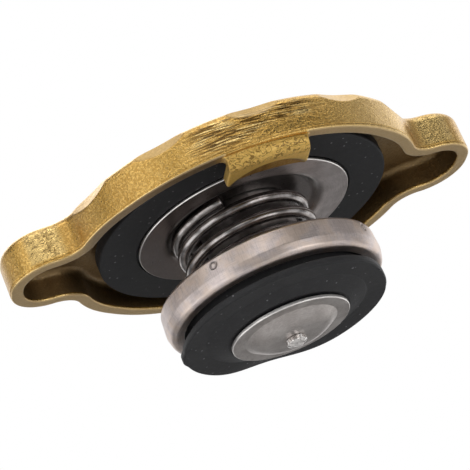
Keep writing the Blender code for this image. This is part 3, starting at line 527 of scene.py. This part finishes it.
def gold_lacquer():
    """Gold-lacquered sheet steel with a fine pebbled grain. The front of the skirt has dark drawing marks along
    it, the ears' faces a crazed skin, and the scallops and the rim are worn paler. Painted shade darkens the
    front, the inside, the ears' necks and tips, a line round the scallops, the rim's front left, the tabs'
    coined hollows and the groove above the rim; painted highlights brighten the drawing marks' crests, the
    ears' faces, the tabs, the rim's upper corner and a band at the front right."""
    gold = Finish("gold_lacquer", Metallic=1.0, Coat_Weight=0.2, Coat_Roughness=0.2)
    scallop, rim = gold.uv("marks")
    turn = gold.turn()
    angle = turn * math.degrees(1.0)
    reach, aside = abs(gold.x), abs(gold.y)
    worn = gold.step(rim, 0.1, 1.0)
    inside = gold.step(rim, -0.45, -0.9)
    outside = 1 - inside
    coined = gold.step(rim, -0.04, -0.26) * outside
    tab = gold.step(gold.z, -1.2, -1.5)
    crinkle = tab * gold.step(gold.away(), 24.0, 24.8)
    ear = gold.band(reach, (28.6, 30.2), (36.6, 35.4)) * gold.step(aside, 6.2, 6.8)
    ear = ear * gold.band(gold.z, (-0.5, 0.1), (5.0, 4.4)) * outside

    cloud = gold.noise(gold.place, 0.22, 3.0, 0.6)
    pebble = gold.step(gold.noise(gold.place, 2.7, 2.0, 0.65, 0.4), 0.36, 0.64)
    # Crazing: dark lines where a stretched noise passes through its middle
    skin = gold.noise(gold.vector(gold.x * 0.7, gold.y * 0.7, gold.z * 1.2), 1.5, 1.0, 0.5, 0.8)
    line = gold.step(abs(skin - 0.5), 0.060, 0.012)

    # Drawing marks along the front of the skirt, between -118 and -60 degrees: two waved noises, drawn out
    # along the skirt, make grooves where either is low and crests where the first is high. The grooves are
    # painted dark, partly as painted shade, and the crests get painted glints as well as their bump
    front = gold.band(angle, (-118, -106), (-60, -80)) * outside
    foot = 1.9 * gold.step(angle, -98, -86)
    front = front * gold.step(gold.z - foot, -0.9, 0.4) * gold.step(gold.z, 4.7, 4.0)
    wave = gold.noise(gold.vector(turn * 3.0, gold.z * 0.25, 0.0), 1.0, 1.0)
    streaks = []
    for along, up, slope, bent, seed in ((6.5, 4.0, 3.4, 2.2, 0.0), (9.0, 5.4, 4.6, 3.0, 5.0)):
        where = gold.vector(turn * along, gold.z * up + turn * slope + wave * bent, seed)
        streaks.append(gold.noise(where, 1.0, 1.0, 0.5, 0.2))
    groove = gold.step(turn.math("MINIMUM", *streaks), 0.48, 0.39)
    crest_and_glint = gold.step(streaks[0], 0.53, 0.62)

    # Painted shade beside the ears, at their tips and at the front left of the skirt, and a painted reflection
    # of the white background as a pale band between -75 and -8 degrees
    painted_shade = gold.band(reach, (24.0, 27.0), (30.0, 28.5)) + gold.step(reach, 35.4, 37.6) * 0.3
    painted_shade = painted_shade + gold.step(angle, -126, -142) * gold.step(reach, 26.0, 23.0) * 0.55
    painted_reflection = gold.band(angle, (-75, -45), (-8, -26))
    # Painted shade on the rim at its front left
    rim_shade = gold.step(angle, -98, -110) * gold.step(reach, 28.0, 25.0)
    # Painted shade in the groove above the rim
    groove_shade = gold.band(gold.z, (-0.66, -0.58), (-0.46, -0.54)) * gold.band(angle, (-88, -70), (60, 40))
    colour = gold.mix((0.47, 0.255, 0.050), (0.78, 0.51, 0.155), cloud * 0.4 + pebble * 0.6)
    for tint, share in [
        # Painted shade beside the ears, at their tips and at the front left, and a painted reflection as a
        # paler band at the front right
        ((0.40, 0.205, 0.045), painted_shade * 0.34),
        ((0.95, 0.69, 0.29), painted_reflection * 0.35),
        # The drawing marks: painted shade over the front, painted glints on the crests and dark grooves that
        # are partly painted shade; the crazed ears, with a painted highlight on their faces
        ((0.40, 0.22, 0.055), front * 0.22),
        ((0.96, 0.72, 0.31), front * crest_and_glint * 0.70 + ear * 0.55),
        ((0.09, 0.042, 0.008), front * groove * 0.88 + ear * line * 0.60),
        # The tabs: crinkled round their bend, painted brighter elsewhere as painted light, and given painted
        # shade, darker and browner, in their coined hollows
        ((1.0, 0.70, 0.20), tab * (1 - crinkle * 0.5) * (1 - coined) * 0.75),
        ((0.12, 0.055, 0.010), crinkle * line * 0.7 + coined * groove * 0.7),
        ((0.40, 0.21, 0.045), coined * 0.60),
        # The scallops' faces, and painted shade in a darker line round their edges
        ((0.60, 0.41, 0.16), scallop * 0.5),
        ((0.30, 0.17, 0.045), gold.band(scallop, (0.02, 0.12), (0.5, 0.25)) * 0.4),
        # The worn rim, with painted shade at its front left and a painted highlight on its upper corner
        ((0.66, 0.48, 0.25), worn * 0.85),
        ((0.30, 0.215, 0.125), worn * rim_shade * 0.75),
        ((0.98, 0.74, 0.34), gold.band(rim, (0.02, 0.2), (0.85, 0.45)) * 0.7),
        # Painted shade on the inside and in the groove above the rim
        ((0.17, 0.115, 0.060), inside * 0.85),
        ((0.16, 0.085, 0.020), groove_shade * 0.8),
    ]:
        colour = gold.mix(colour, tint, share)
    rough = 0.30 + (0.5 - pebble) * 0.10 + inside * 0.18 + worn * 0.08 + tab * 0.20 + scallop * 0.10
    bump = pebble * (1 - scallop * 0.8) * 0.022 + cloud * 0.10
    bump = bump + front * (crest_and_glint - groove) * 0.060 - (ear + crinkle) * line * 0.05
    return gold.finish(bump, Base_Color=colour, Roughness=rough)


def turned_steel(name, dark, light, rough, rings=0.006, stain=0.0, edge=0.0, tint=0.0, struck=False):
    """Pressed steel with fine rings round the axis, faint scratches and clouded patches. It can have dark
    stains, a painted highlight as a bright edge outside the edge radius, painted shade from the tint that
    browns its -X side and darkens it inside a radius of 13.6, and the marks of the struck cup, with painted
    shade towards its foot."""
    steel = Finish(name, Metallic=1.0)
    length, along = steel.uv("run")
    lines = steel.noise(steel.around(1.2, 1.0, along), 9.0, 2.0, 0.7)
    cloud = steel.noise(steel.place, 0.28, 3.0, 0.6)
    fine = steel.noise(steel.place, 4.0, 2.0, 0.6)
    scratches = steel.step(steel.noise(steel.around(9.0, 0.25, along), 2.2, 2.0, 0.6), 0.66, 0.74)
    colour = steel.mix(dark, light, steel.step(cloud * 0.6 + lines * 0.4, 0.36, 0.64))
    bump = lines * rings + cloud * 0.03 + fine * 0.004 + scratches * 0.002

    def darker(colour, share, mask):
        """The colour with the dark one, times a share, laid over it by a mask."""
        return steel.mix(colour, [value * share for value in dark], mask)

    if stain:
        spots = steel.step(steel.noise(steel.place, 1.6, 3.0, 0.7), 0.62, 0.72)
        colour = darker(colour, 0.55, spots * stain)
    if tint:
        # Painted shade: the -X side darkened brown, and the spring's pocket darkened inside a radius of 13.6
        colour = steel.mix(colour, (0.115, 0.088, 0.078), steel.step(steel.x + cloud * 5.0, 9.0, -9.0) * tint)
        colour = steel.mix(colour, (0.10, 0.085, 0.078), steel.step(steel.away(), 13.6, 12.6) * 0.75)
    if edge:
        # Painted highlight: a bright line outside the edge radius
        colour = steel.mix(colour, (0.93, 0.90, 0.87), steel.step(steel.away(), edge - 0.06, edge))
    if struck:
        # Upright brush marks, darkened more towards the foot as painted shade, brown tarnish and dark nicks
        # below the cup's upper edge
        brush = steel.noise(steel.vector(length * 5.5, steel.z * 0.55, 0.0), 1.0, 2.0, 0.6)
        low = steel.step(steel.z, -14.2, -13.2)
        colour = darker(colour, 0.60, steel.step(brush, 0.54, 0.34) * (0.22 + low * 0.16))
        colour = steel.mix(colour, (0.64, 0.49, 0.37), steel.step(cloud, 0.40, 0.62) * 0.50)
        nicks = steel.noise(steel.vector(length * 1.1, steel.z * 2.4, 3.0), 1.0, 2.0, 0.6)
        nicks = steel.step(nicks, 0.66, 0.72) * steel.step(steel.z, -12.6, -11.4)
        colour = darker(colour, 0.35, nicks * 0.6)
        # Four small struck rings, a quarter turn apart, just under the cup's upper edge
        fold = steel.x.math("PINGPONG", steel.turn() - math.radians(STRUCK_ANGLE), math.pi / 4)
        across, up = fold * STRUCK_OUT, steel.z - STRUCK_HEIGHT
        off = up.math("SQRT", across * across + up * up) - STRUCK_RADIUS
        ring = steel.step(abs(off), 0.22, 0.05)
        colour = darker(colour, 0.4, ring * 0.7)
        bump = bump + brush * 0.010 - ring * 0.12
    return steel.finish(bump, Base_Color=colour, Roughness=rough + (lines - 0.5) * 0.12 + (fine - 0.5) * 0.10)


def hidden_steel(name, dark, light, rough):
    """Plain pressed steel for the pieces inside, on object coordinates alone."""
    steel = Finish(name, Metallic=1.0)
    cloud = steel.noise(steel.place, 0.35, 3.0, 0.6)
    rings = steel.noise(steel.vector(steel.x * 0.2, steel.y * 0.2, steel.z * 6.0), 1.0, 2.0, 0.6)
    colour = steel.mix(dark, light, steel.step(cloud, 0.35, 0.65))
    return steel.finish(cloud * 0.02 + rings * 0.006, Base_Color=colour, Roughness=rough + (rings - 0.5) * 0.15)


def drawn_wire(name, dark, light, rough):
    """Spring wire: die marks along it, and duller skin between polished patches."""
    wire = Finish(name, Metallic=1.0)
    length, girth = wire.uv("run")
    lines = wire.noise(wire.vector(length * 0.12, girth * 7.0, 0.0), 1.0, 2.0, 0.6)
    cloud = wire.noise(wire.place, 0.45, 3.0, 0.6)
    colour = wire.mix(dark, light, wire.step(cloud, 0.38, 0.62))
    return wire.finish(lines * 0.012 + cloud * 0.02, Base_Color=colour, Roughness=rough + (lines - 0.5) * 0.2)


def moulded_rubber(name, colour, dust, rough, seam=0.0, pit=None):
    """Moulded rubber: a fine matt skin, soft waves, grey dust in its grain and a few pale specks. A fine seam
    may run round it at a radius, and a small round pit may lie at x, y."""
    rubber = Finish(name, Specular_IOR_Level=0.35)
    skin = rubber.noise(rubber.place, 5.0, 3.0, 0.7)
    wave = rubber.noise(rubber.place, 0.22, 2.0)
    powder = rubber.step(rubber.noise(rubber.place, 1.3, 4.0, 0.7), 0.48, 0.72)
    grit = rubber.node("ShaderNodeTexVoronoi", inputs={"Vector": rubber.place, "Scale": 0.85})
    specks = rubber.step(grit, 0.15, 0.09) * rubber.step(rubber.noise(rubber.place, 0.5, 2.0), 0.44, 0.54)
    tone = rubber.mix(rubber.mix(colour, dust, powder * 0.6), (0.22, 0.22, 0.225), specks * 0.8)
    bump = skin * 0.02 + wave * 0.06
    if seam:
        bump = bump - rubber.step(abs(rubber.away() - seam), 0.12, 0.02) * 0.02
    if pit:
        away = rubber.away(*pit)
        bump = bump - rubber.step(away, 0.34, 0.16) * 0.16
        tone = rubber.mix(tone, (0.26, 0.26, 0.27), rubber.step(away, 0.22, 0.12) * 0.8)
    return rubber.finish(bump, Base_Color=tone, Roughness=rough + (skin - 0.5) * 0.12)


gold = gold_lacquer()
gasket_rubber = moulded_rubber("gasket_rubber", (0.011, 0.0112, 0.0125), (0.022, 0.022, 0.024), 0.62)
seal_rubber = moulded_rubber("seal_rubber", (0.0165, 0.0162, 0.0175), (0.031, 0.0305, 0.033), 0.55, seam=13.0,
                             pit=(8.9, -11.7))
# The spring disc: its tint is painted shade on its -X side and in the spring's pocket, and its edge a painted
# highlight on its rim
disc_steel = turned_steel("disc_stainless", (0.48, 0.43, 0.415), (0.66, 0.60, 0.585), 0.30, edge=17.22,
                          tint=0.9)
cup_steel = turned_steel("cup_stainless", (0.55, 0.475, 0.455), (0.82, 0.735, 0.715), 0.38, rings=0.008,
                         struck=True)
# The vacuum disc's edge is a painted highlight on its rim
vacuum_steel = turned_steel("vacuum_disc_stainless", (0.44, 0.40, 0.38), (0.62, 0.58, 0.555), 0.38,
                            rings=0.010, stain=0.5, edge=9.47)
stem_steel = turned_steel("stem_steel", (0.68, 0.65, 0.63), (0.82, 0.79, 0.77), 0.20, rings=0.001)
rivet_zinc = turned_steel("rivet_zinc", (0.50, 0.50, 0.48), (0.62, 0.62, 0.59), 0.38)
spring_wire = drawn_wire("spring_wire", (0.25, 0.225, 0.215), (0.42, 0.395, 0.385), 0.22)
vacuum_wire = drawn_wire("vacuum_wire", (0.46, 0.45, 0.43), (0.60, 0.58, 0.56), 0.27)


# Pieces

def place(piece, body, material, node):
    """Gives a piece its finish, the body that carries it and the CAD node that it stands for."""
    piece.data.materials.append(material)
    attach(piece, body)
    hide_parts(node)


place(cover_skin(), "cover_body", gold, "cover")
place(cover_tab("tab_front", 1), "cover_body", gold, "cover")
place(cover_tab("tab_back", -1), "cover_body", gold, "cover")

rivet = rounded([(0.0, 6.90, 0.0), (2.6, 6.82, 4.0), (4.6, 6.05, 0.35), (4.6, 5.80, 0.12), (2.2, 5.80, 0.05),
                 (2.2, 1.40, 0.05), (3.8, 1.40, 0.15), (3.8, 0.60, 0.25), (0.0, 0.60, 0.0)], closed=False)
place(spun("rivet", rivet, 96), "cover_body", rivet_zinc, "cover_rivet")

gasket = rounded([(23.65, 2.20, 0.30), (23.65, 0.0, 0.34), (17.62, 0.0, 0.12), (17.62, 0.40, 0.05),
                  (12.90, 0.40, 0.05), (12.90, 2.20, 0.10)])
place(spun("gasket", gasket), "seal_pack", gasket_rubber, "neck_gasket")

disc = rounded([(17.32, 0.10, 0.10), (17.32, -0.40, 0.20), (13.00, -0.40, 2.40), (11.60, 0.90, 0.80),
                (7.70, 0.90, 0.10), (7.70, 1.40, 0.10), (12.80, 1.40, 0.60), (12.80, 0.10, 0.15)])
place(spun("disc", disc), "seal_pack", disc_steel, "spring_disc")

SPRING_TOP = 0.86
SPRING_FOOT = -10.31
spring = wound("spring", (-0.65, 0.25), coil_radius=10.15, wire=1.9, turns=3.75, dead=0.85, top=SPRING_TOP,
               bottom=SPRING_FOOT, start=math.radians(-112), lean=0.7)
place(spring, "seal_pack", spring_wire, "main_spring")
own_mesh(spring)

cup = rounded([(5.50, -10.35, 0.10), (17.40, -10.35, 0.60), (17.60, -13.40, 0.8), (17.15, -15.20, 1.0),
               (15.20, -15.20, 0.15), (15.20, -14.60, 0.15), (16.55, -14.60, 0.5), (17.00, -13.40, 1.5),
               (16.80, -10.95, 0.2), (5.50, -10.95, 0.1)])


def cup_lean(radius, angle, height):
    """The cup is crimped a third of a millimetre off the middle: its radius changes by -0.33 cos."""
    return -0.33 * np.cos(angle) * smooth(radius, 5.5, 12.0), 0.0


place(spun("cup", cup, shift=cup_lean), "pressure_valve", cup_steel, "pressure_cup")


def seal_wave(radius, angle, height):
    """The rubber disc isn't quite true. The far half of its rim droops by 0.58 sqrt(sin) but is bent up by one
    at 92 degrees; the rim is short by 0.6 at -22 and by 0.35 at -168; a moulding nub stands out at 166."""
    rim = smooth(radius, 12.0, 16.8) * smooth(height, -15.6, -16.4)
    turn = np.degrees(angle)
    droop = -0.58 * np.sqrt(np.clip(np.sin(angle), 0.0, 1.0)) + 1.0 * np.exp(-((turn - 92) / 22) ** 2)
    past = (turn + 22 + 180) % 360 - 180
    short = 0.6 * np.exp(-(past / 20) ** 2) + 0.35 * np.exp(-((turn - 192) / 20) ** 2)
    nub = 0.32 * np.exp(-((turn - 166) / 6.5) ** 4)
    return smooth(radius, 16.0, 16.7) * (height < -15.9) * (nub - short), rim * droop


seal = rounded([(15.90, -13.35, 0.2), (15.90, -14.30, 0.1), (14.40, -14.30, 0.1), (14.40, -16.70, 0.4),
                (16.80, -16.70, 0.25), (16.80, -17.80, 0.38), (13.20, -17.80, 0.8), (9.90, -18.80, 0.6),
                (6.50, -18.80, 0.1), (6.50, -13.35, 0.1)])
place(spun("seal", seal, shift=seal_wave), "pressure_valve", seal_rubber, "pressure_seal")

vacuum = rounded([(9.55, -19.10, 0.12), (9.55, -19.70, 0.20), (7.45, -19.70, 0.12), (5.10, -21.20, 5.0),
                  (1.45, -21.20, 0.1), (1.45, -20.60, 0.1), (4.90, -20.60, 0.5), (7.25, -19.10, 0.2)])
place(spun("vacuum_plate", vacuum), "vacuum_valve", vacuum_steel, "vacuum_disc")


def stake(radius, angle, height):
    """The staked end: four lobes 0.05 high round it, and two crossed slots 0.35 deep in its face."""
    low = smooth(height, -21.3, -21.5)
    along = angle - math.radians(20)
    slot = np.minimum(np.abs(np.sin(along)), np.abs(np.cos(along))) * radius
    lobes = 0.05 * np.cos(4 * along + math.pi) * smooth(radius, 0.8, 1.5)
    return low * lobes, low * 0.35 * np.exp(-(slot / 0.24) ** 2)


stem = rounded([(0.0, -4.05, 0.0), (1.5, -4.05, 0.25), (1.5, -4.75, 0.05), (0.8, -4.75, 0.05),
                (0.8, -5.95, 0.05), (1.5, -5.95, 0.05), (1.5, -19.60, 0.05), (2.6, -19.60, 0.10),
                (2.6, -20.30, 0.10), (1.4, -20.30, 0.05), (1.4, -21.22, 0.05), (1.58, -21.22, 0.08),
                (1.58, -21.95, 0.25), (1.1, -22.28, 0.35), (0.0, -22.28, 0.0)], closed=False, spacing=0.25)
place(spun("stem", stem, 144, stake), "vacuum_valve", stem_steel, "vacuum_stem")

LIGHT_TOP = -5.98
LIGHT_FOOT = -10.92
light_spring = wound("light_spring", (0.0, 0.0), coil_radius=2.70, wire=0.5, turns=5.5, dead=0.75,
                     top=LIGHT_TOP, bottom=LIGHT_FOOT, start=0.0, sides=14, rings=60)
place(light_spring, "pressure_valve", vacuum_wire, "vacuum_spring")
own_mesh(light_spring)

HIDDEN = {
    "friction_disc": hidden_steel("friction_disc_steel", (0.32, 0.31, 0.30), (0.44, 0.43, 0.42), 0.40),
    "guide": hidden_steel("guide_steel", (0.30, 0.28, 0.27), (0.40, 0.38, 0.37), 0.36),
    "valve_sleeve": hidden_steel("sleeve_steel", (0.42, 0.41, 0.39), (0.54, 0.53, 0.51), 0.38),
    "seal_washer": hidden_steel("washer_steel", (0.46, 0.45, 0.44), (0.56, 0.55, 0.54), 0.42),
    "stem_clip": hidden_steel("clip_steel", (0.40, 0.39, 0.38), (0.50, 0.49, 0.48), 0.34),
}
for node, material in HIDDEN.items():
    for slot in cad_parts[node].material_slots:
        slot.material = material


# Studio. Lengths here are in metres, and lamps in watts.

SENSOR_WIDTH = 36.0  # millimetres, as the lens
ROOM_LIGHT = 0.08
SWEEP_DIRECTION = (0.27, 0.90, 0.34)
FLOOR_LEVEL = -0.45
FLOOR_HALF = 4.0
SOFTBOX_SIZE = 0.45
SOFTBOX_DISTANCE = 0.8
SOFTBOXES = [  # azimuth from the front, height above the horizon, power
    (0, 90, 0.55), (0, 50, 1.85), (60, 50, 1.15), (120, 50, 0.28), (180, 50, 1.08), (300, 50, 1.16),
    (-16, 12, 0.62), (75, 12, 0.25), (120, 12, 0.23), (255, 12, 0.64), (300, 12, 0.80),
    (30, -20, 1.17), (75, -20, 0.41), (120, -20, 0.55), (255, -20, 0.87), (300, -20, 0.95),
]


def direction(azimuth, elevation):
    """The direction from the cap to where an azimuth from the front and an elevation point, in degrees."""
    a, e = math.radians(azimuth), math.radians(elevation)
    return Vector((math.sin(a) * math.cos(e), -math.cos(a) * math.cos(e), math.sin(e)))


def camera_from_photo(distance, azimuth, elevation, roll, lens, pixel, target):
    """The camera that shows the target at a pixel of the photograph.

    Unrolled it looks straight at the target from the given angles and is then rolled. Last it is turned by the
    smallest rotation that takes the target from the frame's middle to the pixel.
    """
    back = direction(azimuth, elevation)
    a, r = math.radians(azimuth), math.radians(roll)
    right = Vector((math.cos(a), math.sin(a), 0.0))
    up = back.cross(right)
    right, up = math.cos(r) * right - math.sin(r) * up, math.sin(r) * right + math.cos(r) * up
    focal = lens / SENSOR_WIDTH * PHOTO_SIZE
    middle = PHOTO_SIZE / 2
    seen = Vector(((pixel[0] - middle) / focal, -(pixel[1] - middle) / focal, -1.0)).normalized()
    axes = Matrix((right, up, back)).transposed()
    turn = (axes @ seen).rotation_difference(-back).to_matrix()
    camera = bpy.data.objects.new("photo_camera", bpy.data.cameras.new("photo_camera"))
    camera.data.sensor_width = SENSOR_WIDTH
    camera.data.lens = lens
    camera.data.clip_start = 0.01
    camera.matrix_world = Matrix.Translation(target + back * distance) @ (turn @ axes).to_4x4()
    bpy.context.scene.collection.objects.link(camera)
    bpy.context.scene.camera = camera


def softbox(azimuth, elevation, power):
    """A square lamp that faces the cap, as a photographer's softbox does."""
    lamp = bpy.data.lights.new("softbox", "AREA")
    lamp.shape = "SQUARE"
    lamp.size = SOFTBOX_SIZE
    lamp.energy = power
    light = bpy.data.objects.new("softbox", lamp)
    away = direction(azimuth, elevation)
    facing = (-away).to_track_quat("-Z", "Y").to_matrix().to_4x4()
    light.matrix_world = Matrix.Translation(away * SOFTBOX_DISTANCE) @ facing
    light.visible_camera = False
    bpy.context.scene.collection.objects.link(light)


def backdrop():
    """The world: white for the camera, and for reflections white behind the cap; elsewhere a dim room."""
    world = bpy.data.worlds.new("white_sweep")
    bpy.context.scene.world = world
    room = Graph(world)
    sky = room.tree.nodes["Background"]
    sky.inputs["Color"].default_value = (1.0, 1.0, 1.0, 1.0)
    where = room.node("ShaderNodeTexCoord", output="Generated")
    side = room.node("ShaderNodeVectorMath", {"operation": "DOT_PRODUCT"}, {0: where, 1: SWEEP_DIRECTION},
                     output="Value")
    glossy, through, camera = (room.node("ShaderNodeLightPath", output=f"Is {ray} Ray")
                               for ray in ("Glossy", "Transmission", "Camera"))
    mirrored = side.math("MAXIMUM", glossy, through) * room.step(side, 0.35, 0.75)
    light = side.math("MAXIMUM", side.math("MAXIMUM", mirrored, camera), ROOM_LIGHT)
    room.tree.links.new(light.socket, sky.inputs["Strength"])


def studio_floor():
    """A pale floor below the cap, out of the photograph's view."""
    paint = Finish("pale_floor", Roughness=0.8)
    tone = paint.mix((0.84, 0.84, 0.84), (0.88, 0.88, 0.88), paint.noise(paint.place, 0.004, 2.0))
    floor = bpy.data.objects.new("floor", bpy.data.meshes.new("floor"))
    corners = [(x * FLOOR_HALF, y * FLOOR_HALF, FLOOR_LEVEL) for x, y in ((-1, -1), (1, -1), (1, 1), (-1, 1))]
    floor.data.from_pydata(corners, [], [(0, 1, 2, 3)])
    floor.data.materials.append(paint.finish(Base_Color=tone))
    bpy.context.scene.collection.objects.link(floor)


camera_from_photo(distance=0.318, azimuth=-16.67, elevation=-20.15, roll=23.55, lens=161.0,
                  pixel=(287.1, 318.9), target=Vector((0.0, 0.0, -17.8 * MM)))
backdrop()
studio_floor()
for azimuth, elevation, power in SOFTBOXES:
    softbox(azimuth, elevation, power)

bpy.context.scene.view_settings.view_transform = "Standard"
